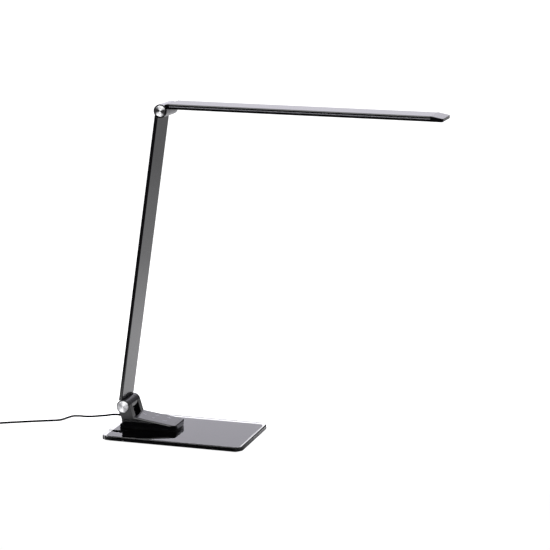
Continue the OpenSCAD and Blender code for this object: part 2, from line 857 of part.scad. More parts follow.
module light_chips() {
    step = (strip_x1 - strip_x0) / lights_n;
    z = board_roof - strip_board_t - chip[2] / 2;
    color("#f5e3a0") on_head() for (i = [0 : lights_n - 1]) for (s = [-1, 1])
        translate([strip_x0 + step * (i + 0.5), s * strip_w / 4, z]) cube(chip, center = true);
}

module head_tip_cap() {
    r = 3;
    l = tip_cap_l;
    tip_z = head_bottom + tip_t;
    color(gloss_black) on_head() union() {
        intersection() {
            across(head_w) polygon([[body_x1, head_bottom], [head_l - 0.8, head_bottom],
                [head_l, head_bottom + 0.8], [head_l, tip_z - 0.4], [head_l - 0.5, tip_z],
                [body_x1 + 1, head_top], [body_x1, head_top]]);
            translate([body_x1, 0, 0]) linear_extrude(far) {
                translate([0, -head_w / 2]) square([l - r, head_w]);
                translate([0, r - head_w / 2]) square([l, head_w - 2 * r]);
                for (s = [-1, 1]) translate([l - r, s * (head_w / 2 - r)]) circle(r = r);
            }
        }
        // spigot that enters the cover
        translate([body_x1 - 7.5, -head_w / 2 + cover_wall + slip, rail_top + slip])
            cube([8, head_w - 2 * cover_wall - 2 * slip, cover_t - cover_roof - 2 * slip]);
    }
}

module head_screws() {
    color(steel) on_head() at_head_screws() translate([0, 0, head_tongue_z - screw_cap_t]) {
        cylinder(d = small_screw_d, h = screw_cap_t + board_roof - head_tongue_z + head_screw_bite - 0.1);
        cylinder(d = screw_cap_d, h = screw_cap_t);
    }
}

// Supply lead

module cord_strain_relief() {
    l = relief_l;
    color(satin_black) translate([rear_x, 0, outlet_z]) rotate([0, -90, 0]) rotate_extrude($fn = 48)
        polygon([[0, -6], [relief_plug_r, -6], [relief_plug_r, 0], [relief_flange_r, 0],
            [relief_flange_r, 1.4], [2.5, 2], [lead_r + 0.25, l], [0, l]]);
}

// Unit vector along v
function unit(v) = v / norm(v);

// Direction of a line of points p at point i
function heading(p, i) = unit(p[min(i + 1, len(p) - 1)] - p[max(i - 1, 0)]);

// Ring of n points of radius r round point i of the line p
function ring(p, i, r, n) =
    let (t = heading(p, i), side = unit(cross(t, [0, 0, 1])), up = cross(side, t))
    [for (k = [0 : n - 1]) p[i] + r * (cos(360 * (k + 0.5) / n) * side + sin(360 * (k + 0.5) / n) * up)];

// Tube of radius r with n sides along the line p
module tube(p, r, n) {
    rings = [for (i = [0 : len(p) - 1]) each ring(p, i, r, n)];
    last = (len(p) - 1) * n;
    sides = [for (i = [0 : len(p) - 2]) for (k = [0 : n - 1])
        let (a = i * n + k, b = i * n + (k + 1) % n) each [[a, b, a + n], [b, b + n, a + n]]];
    caps = [[for (k = [n - 1 : -1 : 0]) k], [for (k = [0 : n - 1]) last + k]];
    polyhedron(rings, concat(sides, caps), convexity = 10);
}

module power_cord() {
    color(satin_black) tube(lead_route, lead_r, 8);
}

// Radius and height of the coil's centre line after t turns. Each layer winds in or out at a
// steady rate, and the next begins where the last turned back.
function coil_radius(t) =
    let (layer = min(floor(t / coil_turns), coil_layers - 1), u = t - layer * coil_turns)
    layer % 2 == 0 ? coil_outer - coil_pitch * u : coil_inner + coil_pitch * u;

function coil_height(t) =
    let (k = max(1, min(round(t / coil_turns), coil_layers - 1)),
        step = max(-1, min((t - k * coil_turns) / climb, 1)))
    coil_z + coil_pitch * (k - 1 + (1 + step) / 2);

coil_line = concat([lead_end],
    [for (i = [0 : coil_total * coil_rings]) let (t = i / coil_rings, a = 90 + 360 * t)
        [coil_x + coil_radius(t) * cos(a), coil_y + coil_radius(t) * sin(a), coil_height(t)]],
    [[coil_x - 6, coil_y + coil_outer, tail_z], [coil_x - tail_l, coil_y + coil_outer, tail_z]]);

// Least gap between one turn of the coil and another, on the points of its centre line
coil_gap = min([for (i = [0 : len(coil_line) - 1])
    for (j = [i + coil_rings / 2 : 1 : len(coil_line) - 1]) norm(coil_line[i] - coil_line[j])]) - lead_d;
echo(str("Least gap between turns of the coil: ", coil_gap, " mm"));

module cord_coil() {
    color(satin_black) tube(coil_line, lead_r, 6);
}

// Strap round the bundle, on the side away from the lead's two ends
module cord_tie() {
    strap_t = 0.7;
    room = 0.4;
    x0 = coil_inner - lead_r - room;
    x1 = coil_outer + lead_r + room;
    z0 = coil_z - lead_r - 0.05;
    z1 = tail_z + lead_r + 0.3;
    color(dark_grey) translate([coil_x, coil_y, 0]) rotate(-90)
        translate([(x0 + x1) / 2, 0, (z0 + z1) / 2]) across(6) difference() {
            rounded(x1 - x0 + 2 * strap_t, z1 - z0 + 2 * strap_t, 1.6);
            rounded(x1 - x0, z1 - z0, 0.9);
        }
}

module adapter_relief() {
    l = adapter_relief_l;
    color(satin_black) translate([coil_x - tail_l, coil_y + coil_outer, tail_z]) rotate([0, -90, 0])
        rotate_extrude($fn = 48)
        polygon([[0, 0], [lead_r + 0.3, 0], [2.6, l - 1.6], [3.4, l - 1.2], [3.4, l], [0, l]]);
}

module wall_adapter() {
    r = 4;
    edge = 2;
    color(satin_black) translate([adapter_x - adapter_l / 2, coil_y + coil_outer, 0]) intersection() {
        linear_extrude(adapter_t) rounded(adapter_l, adapter_w, r);
        translate([0, 0, adapter_t / 2]) across(adapter_w) rounded(adapter_l, adapter_t, edge);
    }
}

module adapter_blades() {
    x = adapter_x - adapter_l - blade[0];
    y = coil_y + coil_outer - blade[1] / 2;
    color(steel) for (s = [-1, 1])
        translate([x, y + s * blade_pitch / 2, (adapter_t - blade[2]) / 2]) cube(blade);
}

anti_slip_pad();
base_weight();
glass_plate();
base_screws();
console_foot();
console_housing();
touch_panel();
touch_springs();
control_board();
nose_insert();
lower_axle();
lower_friction_washers();
lower_lock_nut();
lower_bushes();
lower_cover_discs();
arm_lower_knuckle();
arm_bar();
arm_cable();
arm_back_strip();
arm_screws();
arm_upper_knuckle();
upper_bushes();
upper_axle();
upper_friction_washers();
upper_lock_nut();
head_knuckle();
upper_end_rings();
upper_cover_discs();
head_root_cap();
head_cover();
head_rail();
head_bezel();
head_diffuser();
light_board();
light_chips();
head_tip_cap();
head_screws();
cord_strain_relief();
power_cord();
cord_coil();
cord_tie();
wall_adapter();
adapter_relief();
adapter_blades();
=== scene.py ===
import math

import bmesh
import bpy
from mathutils import Matrix, Vector


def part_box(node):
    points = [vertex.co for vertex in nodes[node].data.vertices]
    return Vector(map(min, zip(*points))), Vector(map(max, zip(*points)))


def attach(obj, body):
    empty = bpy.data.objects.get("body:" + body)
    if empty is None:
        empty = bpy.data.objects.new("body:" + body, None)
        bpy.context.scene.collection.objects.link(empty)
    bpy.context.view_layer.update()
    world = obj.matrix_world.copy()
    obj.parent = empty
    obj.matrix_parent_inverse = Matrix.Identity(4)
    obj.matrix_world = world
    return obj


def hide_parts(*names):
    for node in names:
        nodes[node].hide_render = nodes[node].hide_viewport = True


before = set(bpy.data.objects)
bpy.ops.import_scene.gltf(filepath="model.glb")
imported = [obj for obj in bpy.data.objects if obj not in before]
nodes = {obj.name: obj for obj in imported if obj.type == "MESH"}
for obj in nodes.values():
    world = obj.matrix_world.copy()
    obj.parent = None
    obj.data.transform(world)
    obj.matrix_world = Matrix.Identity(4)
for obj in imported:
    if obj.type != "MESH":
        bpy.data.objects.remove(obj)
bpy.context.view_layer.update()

mm = 0.001
print("stage: frame loaded with", len(nodes), "nodes")

# Camera, solved from the photograph's edges
camera = {"azimuth": 17.14, "elevation": 12.0, "distance": 2.57, "lens": 126.98, "sensor": 36.0,
          "target": (0.12849, 0.0, 0.23176), "clip": (0.05, 60)}


def makeCamera():
    azimuth, elevation = math.radians(camera["azimuth"]), math.radians(camera["elevation"])
    back = Vector((math.sin(azimuth) * math.cos(elevation), -math.cos(azimuth) * math.cos(elevation),
                   math.sin(elevation)))
    data = bpy.data.cameras.new("photoCamera")
    data.lens = camera["lens"]
    data.sensor_width = camera["sensor"]
    data.clip_start, data.clip_end = camera["clip"]
    made = bpy.data.objects.new("photoCamera", data)
    bpy.context.scene.collection.objects.link(made)
    made.location = Vector(camera["target"]) + back * camera["distance"]
    made.rotation_mode = "QUATERNION"
    made.rotation_quaternion = (-back).to_track_quat("-Z", "Y")
    bpy.context.scene.camera = made


makeCamera()


# Mesh helpers
def newObject(name, data, body):
    made = bpy.data.objects.new(name, data)
    bpy.context.scene.collection.objects.link(made)
    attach(made, body)
    return made


def meshFrom(name, vertices, faces, smoothAngle=None):
    mesh = bpy.data.meshes.new(name)
    work = bmesh.new()
    made = [work.verts.new(v) for v in vertices]
    for face in faces:
        work.faces.new([made[i] for i in face])
    bmesh.ops.remove_doubles(work, verts=work.verts, dist=1e-7)
    bmesh.ops.recalc_face_normals(work, faces=work.faces)
    if smoothAngle is not None:
        for face in work.faces:
            face.smooth = True
        for edge in work.edges:
            edge.smooth = len(edge.link_faces) == 2 and edge.calc_face_angle() < math.radians(smoothAngle)
    work.to_mesh(mesh)
    work.free()
    return mesh


def stackRings(rings, closed=False):
    # rings of equal length, joined in order, with a cap at each end unless closed on itself
    count = len(rings[0])
    vertices = [p for ring in rings for p in ring]
    faces = []
    for i in range(len(rings) if closed else len(rings) - 1):
        a, b = i * count, (i + 1) % len(rings) * count
        for k in range(count):
            n = (k + 1) % count
            faces.append((a + k, a + n, b + n, b + k))
    if not closed:
        faces.append(tuple(range(count)))
        faces.append(tuple(range((len(rings) - 1) * count, len(rings) * count)))
    return vertices, faces


def roundedOutline(length, width, radius, steps=8):
    points = []
    for corner, (sx, sy) in enumerate([(1, 1), (-1, 1), (-1, -1), (1, -1)]):
        cx, cy = sx * (length / 2 - radius), sy * (width / 2 - radius)
        for i in range(steps + 1):
            a = math.radians(90 * (corner + i / steps))
            points.append((cx + radius * math.cos(a), cy + radius * math.sin(a)))
    return points


# Supply lead: the CAD lead's own route in millimetres, then the turns of its coil
lead = {"diameter": 2.8, "tipX": -97.0, "coilInner": 11.2, "turns": 3, "layers": 4, "pitch": 3.3,
        "pointsPerTurn": 24, "climb": 0.25, "tail": (6, 12, 24, 38), "between": 3,
        "sides": 14,
        "route": [(0, 0, 20.5), (-3, 0, 20.5), (-10, -0.9, 20), (-19, -0.1, 17.9), (-28, 2.8, 15.8),
                  (-36, 5.7, 13.7), (-44, 9.5, 11.6), (-52, 14.4, 9.5), (-60, 20.2, 7.4),
                  (-68, 25.5, 5.8), (-75.5, 29.3, 4.2), (-82, 30.4, 3.1), (-87, 26.6, 2),
                  (-90, 20.2, 1.6), (-93, 13.7, 1.5), (-98, 9.2, 1.5), (-106, 5.7, 1.5),
                  (-114, 1.7, 1.5), (-122, -2.3, 1.5), (-130, -6.3, 1.5), (-138, -10.3, 1.5),
                  (-146, -14.8, 1.5), (-154, -18.8, 1.5), (-162, -23.3, 1.5), (-170, -27.8, 1.5),
                  (-178, -31.3, 1.6), (-186, -33.8, 1.8), (-193, -35.3, 2.1), (-197, -35.8, 2.3),
                  (-200, -35.8, 2.3)]}


def smoothLine(points, between):
    # Catmull-Rom through the points
    line = []
    for i in range(len(points) - 1):
        p0, p1 = points[max(i - 1, 0)], points[i]
        p2, p3 = points[i + 1], points[min(i + 2, len(points) - 1)]
        for k in range(between):
            t = k / between
            line.append(0.5 * (2 * p1 + (p2 - p0) * t + (2 * p0 - 5 * p1 + 4 * p2 - p3) * t * t
                               + (3 * p1 - p0 - 3 * p2 + p3) * t ** 3))
    return line + [points[-1]]


leadRoute = [Vector((lead["tipX"] + x, y, z)) for x, y, z in lead["route"]]
coilOuter = lead["coilInner"] + lead["turns"] * lead["pitch"]
coilCentre = Vector((leadRoute[-1].x - 3, leadRoute[-1].y - coilOuter, leadRoute[-1].z))
tailHeight = coilCentre.z + (lead["layers"] - 1) * lead["pitch"]


def coilPoint(t):
    layer = min(int(t / lead["turns"]), lead["layers"] - 1)
    wound = lead["pitch"] * (t - layer * lead["turns"])
    radius = coilOuter - wound if layer % 2 == 0 else lead["coilInner"] + wound
    turn = max(1, min(round(t / lead["turns"]), lead["layers"] - 1))
    step = max(-1, min((t - turn * lead["turns"]) / lead["climb"], 1))
    angle = math.radians(90 + 360 * t)
    return coilCentre + Vector((radius * math.cos(angle), radius * math.sin(angle),
                                lead["pitch"] * (turn - 1 + (1 + step) / 2)))


def tubeRings(line, radius, sides):
    rings = []
    for i, place in enumerate(line):
        along = (line[min(i + 1, len(line) - 1)] - line[max(i - 1, 0)]).normalized()
        side = along.cross(Vector((0, 0, 1))).normalized()
        up = side.cross(along)
        angles = [2 * math.pi * k / sides for k in range(sides)]
        rings.append([place + radius * (math.cos(a) * side + math.sin(a) * up) for a in angles])
    return stackRings(rings)


def makeLead():
    line = smoothLine(leadRoute, lead["between"])
    count = lead["turns"] * lead["layers"] * lead["pointsPerTurn"]
    line += [coilPoint(i / lead["pointsPerTurn"]) for i in range(count + 1)]
    line += [Vector((coilCentre.x - x, coilCentre.y + coilOuter, tailHeight)) for x in lead["tail"]]
    line = [place * mm for place in line]
    mesh = meshFrom("supplyLead", *tubeRings(line, lead["diameter"] / 2 * mm, lead["sides"]), 40)
    made = newObject("supplyLead", mesh, "base")
    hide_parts("power_cord", "cord_coil")
    length = sum((b - a).length for a, b in zip(line, line[1:]))
    print("stage: supply lead", round(length, 3), "m long")
    return made, line, length


supplyLead, leadLine, leadLength = makeLead()


# Strain relief at the console: a flange, ribs and a tapered sleeve, as moulded on thin leads
relief = {"x": -84.5, "z": 20.5, "inside": 6.0, "length": 12.5, "sleeve": 2.1, "flange": 3.1, "tip": 1.6,
          "ribs": 5, "groove": 0.35, "segments": 40}


def makeRelief():
    profile = [(-relief["inside"], relief["sleeve"]), (0, relief["sleeve"]), (0, relief["flange"] - 0.2),
               (0.2, relief["flange"]), (1.2, relief["flange"]), (1.4, relief["flange"] - 0.2), (2.0, 2.5)]
    pitch = (relief["length"] - 3.0) / relief["ribs"]
    for i in range(relief["ribs"]):
        x = 2.2 + i * pitch
        radius = 2.5 + (relief["tip"] - 2.5) * (x - 2) / (relief["length"] - 2)
        for offset, depth in ((0, 0), (0.15, 0.1), (0.3, relief["groove"]), (0.8, relief["groove"]),
                              (0.95, 0.1), (1.1, 0)):
            profile.append((x + offset, max(radius - depth, 1.45)))
    profile += [(relief["length"] - 0.2, relief["tip"]), (relief["length"], relief["tip"] - 0.15)]
    rings = []
    for x, radius in profile:
        angles = [2 * math.pi * k / relief["segments"] for k in range(relief["segments"])]
        rings.append([((relief["x"] - x) * mm, radius * math.cos(a) * mm,
                       (relief["z"] + radius * math.sin(a)) * mm) for a in angles])
    made = newObject("ribbedStrainRelief", meshFrom("ribbedStrainRelief", *stackRings(rings), 30),
                     "base")
    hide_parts("cord_strain_relief")
    return made


ribbedRelief = makeRelief()

# Plug-in supply: two half shells with a seam between them, and flat blades with a hole each
adapter = {"length": 50.0, "width": 38.0, "height": 24.4, "corner": 4.0, "edge": 2.0, "seam": 0.35,
           "blade": (17.0, 1.5, 6.3), "bladePitch": 12.7, "bladeHole": 1.6, "leadInside": 24.0}
adapterX = coilCentre.x - adapter["leadInside"]
adapterY = coilCentre.y + coilOuter


def makeAdapter():
    half = adapter["height"] / 2
    levels = []
    for i in range(7):
        a = math.radians(90 * i / 6)
        levels.append((adapter["edge"] * (1 - math.sin(a)), adapter["edge"] * (1 - math.cos(a))))
    lower = [(z, inset) for inset, z in levels]
    middle = [(half - 0.3, 0), (half - 0.25, adapter["seam"]), (half + 0.25, adapter["seam"]),
              (half + 0.3, 0)]
    upper = [(adapter["height"] - z, inset) for z, inset in reversed(lower)]
    rings = []
    for z, inset in lower + middle + upper:
        outline = roundedOutline(adapter["length"] - 2 * inset, adapter["width"] - 2 * inset,
                                 adapter["corner"] - min(inset, 2.5), 6)
        rings.append([((adapterX - adapter["length"] / 2 + x) * mm, (adapterY + y) * mm, z * mm)
                      for x, y in outline])
    shell = newObject("adapterShell", meshFrom("adapterShell", *stackRings(rings), 30),
                      "base")
    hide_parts("wall_adapter")
    return shell


def makeBlades():
    reach, thick, height = adapter["blade"]
    x0 = adapterX - adapter["length"]
    z0 = adapter["height"] / 2
    outline = [(1.5, -height / 2), (1.5, height / 2), (-reach + 1.4, height / 2),
               (-reach + 0.5, height / 2 - 0.5), (-reach, height / 2 - 1.4), (-reach, 1.4 - height / 2),
               (-reach + 0.5, 0.5 - height / 2), (-reach + 1.4, -height / 2)]
    hole = [(-reach + 4 + adapter["bladeHole"] * math.cos(a), adapter["bladeHole"] * math.sin(a))
            for a in (2 * math.pi * k / 24 for k in range(24))]
    work = bmesh.new()
    for side in (-1, 1):
        y = adapterY + side * adapter["bladePitch"] / 2
        edges = []
        for ring in (outline, hole):
            verts = [work.verts.new(((x0 + u) * mm, (y - thick / 2) * mm, (z0 + v) * mm)) for u, v in ring]
            edges += [work.edges.new((a, b)) for a, b in zip(verts, verts[1:] + verts[:1])]
        filled = bmesh.ops.triangle_fill(work, edges=edges, use_beauty=True, normal=(0, -1, 0))
        faces = [g for g in filled["geom"] if isinstance(g, bmesh.types.BMFace)]
        pushed = bmesh.ops.extrude_face_region(work, geom=faces, use_keep_orig=True)
        moved = [g for g in pushed["geom"] if isinstance(g, bmesh.types.BMVert)]
        bmesh.ops.translate(work, verts=moved, vec=(0, thick * mm, 0))
    bmesh.ops.recalc_face_normals(work, faces=work.faces)
    mesh = bpy.data.meshes.new("plugBlades")
    work.to_mesh(mesh)
    work.free()
    blades = newObject("plugBlades", mesh, "base")
    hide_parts("adapter_blades")
    return blades


adapterShell = makeAdapter()
plugBlades = makeBlades()

# Strap round the coil, wound once and lapped over itself
strap = {"thick": 0.6, "width": 6.0, "lap": 14.0, "room": 0.15, "corner": 1.4, "below": 0.05,
         "above": 0.25}


def makeStrap():
    inner = lead["coilInner"] - lead["diameter"] / 2 - strap["room"]
    outer = coilOuter + lead["diameter"] / 2 + strap["room"]
    low = coilCentre.z - lead["diameter"] / 2 - strap["below"]
    high = tailHeight + lead["diameter"] / 2 + strap["above"]
    outline = roundedOutline(outer - inner, high - low, strap["corner"], 6)
    lengths = [0.0]
    loop = outline + [outline[0]]
    for a, b in zip(loop, loop[1:]):
        lengths.append(lengths[-1] + math.dist(a, b))
    path = [(loop[i], strap["thick"] / 2) for i in range(len(loop))]
    lapEnd = next(i for i, length in enumerate(lengths) if length > strap["lap"])
    path += [(outline[i], strap["thick"] * 1.5 + 0.05) for i in range(1, lapEnd + 1)]
    centre = Vector(((outer + inner) / 2, (low + high) / 2))
    rings = []
    for i, (point, lift) in enumerate(path):
        before, after = Vector(path[max(i - 1, 0)][0]), Vector(path[min(i + 1, len(path) - 1)][0])
        along = (after - before).normalized() if (after - before).length > 1e-6 else Vector((0, 1))
        out = Vector((along.y, -along.x))
        ring = []
        for side, depth in ((-1, -0.5), (1, -0.5), (1, 0.5), (-1, 0.5)):
            flat = Vector(point) + out * (lift + depth * strap["thick"])
            radial, z = flat.x + centre.x, flat.y + centre.y
            ring.append(((coilCentre.x + side * strap["width"] / 2) * mm,
                         (coilCentre.y - radial) * mm, z * mm))
        rings.append(ring)
    made = newObject("hookStrap", meshFrom("hookStrap", *stackRings(rings), 40), "base")
    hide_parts("cord_tie")
    return made


hookStrap = makeStrap()
print("stage: cord, relief, supply and strap made")

# Black enamel behind the glass; it stops short of the edge, which leaves the clear rim
# the darker of the two glass tones is painted shade, laid along the bevel as a dark line at the edge
glass = {"length": 200.0, "width": 124.0, "top": 8.5, "bevel": 1.15, "clearTone": "#f6f6f8",
         "edgeShadeTone": "#202024"}
paint = {"length": 189.1, "width": 113.1, "corner": 5.5, "low": 2.53, "high": 2.62}


def makePaint():
    outline = roundedOutline(paint["length"], paint["width"], paint["corner"], 10)
    rings = [[(x * mm, y * mm, z * mm) for x, y in outline] for z in (paint["low"], paint["high"])]
    return newObject("enamelBehindGlass", meshFrom("enamelBehindGlass", *stackRings(rings), 30),
                     "base")


enamelSheet = makePaint()

# Printed marks of the touch panel: plain switch, brightness, warmth and timer signs, in millimetres
deck = {"footX": -68.334, "height": 25.0, "slope": 7.5, "raise": 0.03, "sink": 0.02}
marks = {"line": 0.42, "switch": (-59.3, 3.0), "brighter": (-43.6, 8.6), "warmth": (-27.0, 9.2),
         "dimmer": (-44.2, -5.0), "timer": (-27.4, -7.0)}


def arcStroke(radius, start, end, width, centre=(0, 0), steps=20):
    angles = [math.radians(start + (end - start) * i / steps) for i in range(steps + 1)]
    outer = [(centre[0] + (radius + width / 2) * math.cos(a), centre[1] + (radius + width / 2) * math.sin(a))
             for a in angles]
    inner = [(centre[0] + (radius - width / 2) * math.cos(a), centre[1] + (radius - width / 2) * math.sin(a))
             for a in reversed(angles)]
    return outer + inner


def barStroke(x0, y0, x1, y1, width):
    along = (Vector((x1, y1)) - Vector((x0, y0))).normalized() * width / 2
    return [(x0 + along.y, y0 - along.x), (x1 + along.y, y1 - along.x),
            (x1 - along.y, y1 + along.x), (x0 - along.y, y0 + along.x)]


def sunStrokes(radius, reach, rays):
    width = marks["line"]
    strokes = [arcStroke(radius, 0, 180, width), arcStroke(radius, 180, 360, width)]
    for i in range(rays):
        a = math.radians(360 * i / rays)
        strokes.append(barStroke((radius + 0.5) * math.cos(a), (radius + 0.5) * math.sin(a),
                                 reach * math.cos(a), reach * math.sin(a), width))
    return strokes


def makeMarks():
    width = marks["line"]
    signs = {
        "switch": [arcStroke(2.1, 120, 420, width, steps=30), barStroke(0, 0.6, 0, 2.7, width)],
        "brighter": sunStrokes(1.2, 2.7, 8),
        "dimmer": sunStrokes(0.8, 1.9, 8),
        "warmth": [arcStroke(2.0, 0, 180, width), arcStroke(2.0, 180, 360, width),
                   arcStroke(0.95, -90, 90, 1.5, steps=16)],
        "timer": [arcStroke(2.0, 0, 180, width), arcStroke(2.0, 180, 360, width),
                  barStroke(0, -0.15, 0, 1.4, width), barStroke(-0.1, 0, 1.1, 0, width)],
    }
    tilt = math.tan(math.radians(deck["slope"]))
    vertices, faces = [], []
    for name, strokes in signs.items():
        x0, y0 = marks[name]
        for stroke in strokes:
            rings = []
            for lift in (-deck["sink"], deck["raise"]):
                ring = []
                for u, v in stroke:
                    x, y = x0 - v, y0 + u
                    ring.append((x * mm, y * mm, (deck["height"] - (x - deck["footX"]) * tilt + lift) * mm))
                rings.append(ring)
            newVertices, newFaces = stackRings(rings)
            faces += [tuple(i + len(vertices) for i in face) for face in newFaces]
            vertices += newVertices
    return newObject("panelMarks", meshFrom("panelMarks", vertices, faces), "base")


panelMarks = makeMarks()
print("stage: enamel and panel marks made")


# Materials
def toLinear(hexColour):
    channels = [int(hexColour[i:i + 2], 16) / 255 for i in (1, 3, 5)]
    return (*[c / 12.92 if c <= 0.04045 else ((c + 0.055) / 1.055) ** 2.4 for c in channels], 1.0)


def addNode(tree, kind, values=None, links=None, **settings):
    node = tree.nodes.new(kind)
    for name, value in settings.items():
        setattr(node, name, value)
    for name, value in (values or {}).items():
        node.inputs[name].default_value = value
    for name, socket in (links or {}).items():
        tree.links.new(socket, node.inputs[name])
    return node


def startMaterial(name, **sockets):
    material = bpy.data.materials.new(name)
    material.use_nodes = True
    tree = material.node_tree
    tree.nodes.clear()
    names = {"colour": "Base Color", "metallic": "Metallic", "roughness": "Roughness", "ior": "IOR",
             "transmission": "Transmission Weight", "sheen": "Sheen Weight",
             "anisotropic": "Anisotropic", "turned": "Anisotropic Rotation",
             "subsurface": "Subsurface Weight",
             "subsurfaceRadius": "Subsurface Radius", "subsurfaceScale": "Subsurface Scale",
             "specular": "Specular IOR Level"}
    shader = addNode(tree, "ShaderNodeBsdfPrincipled",
                     {names[key]: toLinear(value) if key == "colour" else value
                      for key, value in sockets.items()})
    addNode(tree, "ShaderNodeOutputMaterial", links={"Surface": shader.outputs[0]})
    place = addNode(tree, "ShaderNodeTexCoord").outputs["Object"]
    return material, tree, shader, place


def addNoise(tree, vector, size, detail):
    return addNode(tree, "ShaderNodeTexNoise", {"Scale": 1 / size, "Detail": detail},
                   {"Vector": vector}).outputs["Fac"]


def spreadRoughness(tree, shader, value, low, high):
    # noise lies mostly between 0.3 and 0.7
    spread = addNode(tree, "ShaderNodeMapRange",
                     {"From Min": 0.3, "From Max": 0.7, "To Min": low, "To Max": high}, {"Value": value})
    tree.links.new(spread.outputs["Result"], shader.inputs["Roughness"])


def varyRoughness(tree, shader, place, size, low, high):
    # patches of the given size in metres, from the moulding or from handling
    spreadRoughness(tree, shader, addNoise(tree, place, size, 3.0), low, high)


def mottle(tree, shader, place, size, first, second):
    # two tones of one colour in patches of the given size in metres
    mix = addNode(tree, "ShaderNodeMix", data_type="RGBA")
    mix.inputs["A"].default_value = toLinear(first)
    mix.inputs["B"].default_value = toLinear(second)
    tree.links.new(addNoise(tree, place, size, 4.0), mix.inputs["Factor"])
    tree.links.new(mix.outputs["Result"], shader.inputs["Base Color"])


def setNormal(tree, shader, height=None, depth=0.0, edge=0.0):
    # edge is the rounding in metres that the sharp CAD edges show
    normal = None
    if edge:
        normal = addNode(tree, "ShaderNodeBevel", {"Radius": edge}, samples=6).outputs["Normal"]
    if height is not None:
        bump = addNode(tree, "ShaderNodeBump", {"Strength": 1.0, "Distance": depth},
                       {"Height": height, **({"Normal": normal} if normal else {})})
        normal = bump.outputs["Normal"]
    tree.links.new(normal, shader.inputs["Normal"])


def glossAbs():
    # injection moulded black ABS from a polished tool: a deep mirror with a faint orange peel
    material, tree, shader, place = startMaterial("highGlossAbs", colour="#020203", ior=1.5)
    varyRoughness(tree, shader, place, 0.009, 0.03, 0.07)
    peel = addNoise(tree, place, 0.004, 1.0)
    setNormal(tree, shader, peel, 0.000004, 0.0005)
    return material


def clearGlass():
    # float glass, clear at the rim; along the bevel at its edge a dark grey is painted into the colour, a
    # painted shade that draws a dark line
    material, tree, shader, place = startMaterial("clearFloatGlass", ior=1.52, transmission=1.0)
    varyRoughness(tree, shader, place, 0.03, 0.0, 0.03)
    parts = addNode(tree, "ShaderNodeSeparateXYZ", links={"Vector": place})
    near = []
    for axis, reach in (("X", glass["length"] / 2), ("Y", glass["width"] / 2)):
        size = addNode(tree, "ShaderNodeMath", links={0: parts.outputs[axis]}, operation="ABSOLUTE")
        near.append(addNode(tree, "ShaderNodeMath", {1: (reach - glass["bevel"]) * mm},
                            {0: size.outputs[0]}, operation="GREATER_THAN"))
    # mask of the bevel band where the painted shade goes
    edge = addNode(tree, "ShaderNodeMath", links={0: near[0].outputs[0], 1: near[1].outputs[0]},
                   operation="MAXIMUM")
    high = addNode(tree, "ShaderNodeMath", {1: (glass["top"] - glass["bevel"]) * mm},
                   {0: parts.outputs["Z"]}, operation="GREATER_THAN")
    paintedEdgeShade = addNode(tree, "ShaderNodeMath", links={0: edge.outputs[0], 1: high.outputs[0]},
                     operation="MULTIPLY")
    mix = addNode(tree, "ShaderNodeMix", data_type="RGBA", links={"Factor": paintedEdgeShade.outputs[0]})
    mix.inputs["A"].default_value = toLinear(glass["clearTone"])
    mix.inputs["B"].default_value = toLinear(glass["edgeShadeTone"])
    tree.links.new(mix.outputs["Result"], shader.inputs["Base Color"])
    return material


def backEnamel():
    # screen printed black enamel: bonded to the glass, so it has no sheen of its own
    material, tree, shader, place = startMaterial("blackGlassEnamel", roughness=0.5, specular=0.0)
    mottle(tree, shader, place, 0.02, "#030304", "#060607")
    return material


def powderCoat():
    # black powder coat on steel: fine pebbled skin, grains of about 0.4 mm
    material, tree, shader, place = startMaterial("blackPowderCoat", roughness=0.5)
    mottle(tree, shader, place, 0.002, "#0e0e10", "#18181a")
    grain = addNoise(tree, place, 0.0004, 2.0)
    setNormal(tree, shader, grain, 0.00006, 0.0003)
    return material


def rubberSheet():
    # moulded rubber sheet: matt, with shallow round dimples 3 mm apart that grip the desk
    material, tree, shader, place = startMaterial("dimpledRubberSheet", roughness=0.85)
    mottle(tree, shader, place, 0.006, "#141416", "#1d1d20")
    cells = addNode(tree, "ShaderNodeTexVoronoi", {"Scale": 1 / 0.003, "Randomness": 0.0},
                    {"Vector": place}, voronoi_dimensions="2D")
    setNormal(tree, shader, cells.outputs["Distance"], 0.0004)
    return material


def touchAcrylic():
    # black acrylic cover of the touch keys: flatter and a little duller than the housing
    material, tree, shader, place = startMaterial("blackAcrylicPanel", colour="#0c0c0f", ior=1.54)
    varyRoughness(tree, shader, place, 0.012, 0.1, 0.17)
    setNormal(tree, shader, edge=0.0003)
    return material


def printedWhite():
    # screen print on the panel: chalky white ink, thin enough for the black to dull it
    material, tree, shader, place = startMaterial("screenPrintedWhite", roughness=0.6)
    mottle(tree, shader, place, 0.0008, "#8f8f9a", "#a9a9b4")
    return material


def satinAbs(name, dark, light):
    # black ABS from a lightly spark-eroded tool: satin, grain of about 0.3 mm
    material, tree, shader, place = startMaterial(name, ior=1.5)
    mottle(tree, shader, place, 0.0012, dark, light)
    varyRoughness(tree, shader, place, 0.002, 0.3, 0.42)
    grain = addNoise(tree, place, 0.0003, 2.0)
    setNormal(tree, shader, grain, 0.00002, 0.0003)
    return material


def anodisedBlack(name, angle):
    # extruded aluminium, black anodised and sealed: satin mirror with faint draw lines along it.
    # The real lines are some 0.05 mm apart; they are drawn at 0.6 mm to show.
    material, tree, shader, place = startMaterial(name, colour="#0a0a0c", ior=1.6)
    turn = addNode(tree, "ShaderNodeMapping", {"Rotation": (0, math.radians(angle), 0),
                                               "Scale": (1, 60, 60)}, {"Vector": place})
    lines = addNoise(tree, turn.outputs["Vector"], 0.036, 3.0)
    spreadRoughness(tree, shader, lines, 0.09, 0.16)
    setNormal(tree, shader, lines, 0.000003, 0.0004)
    return material


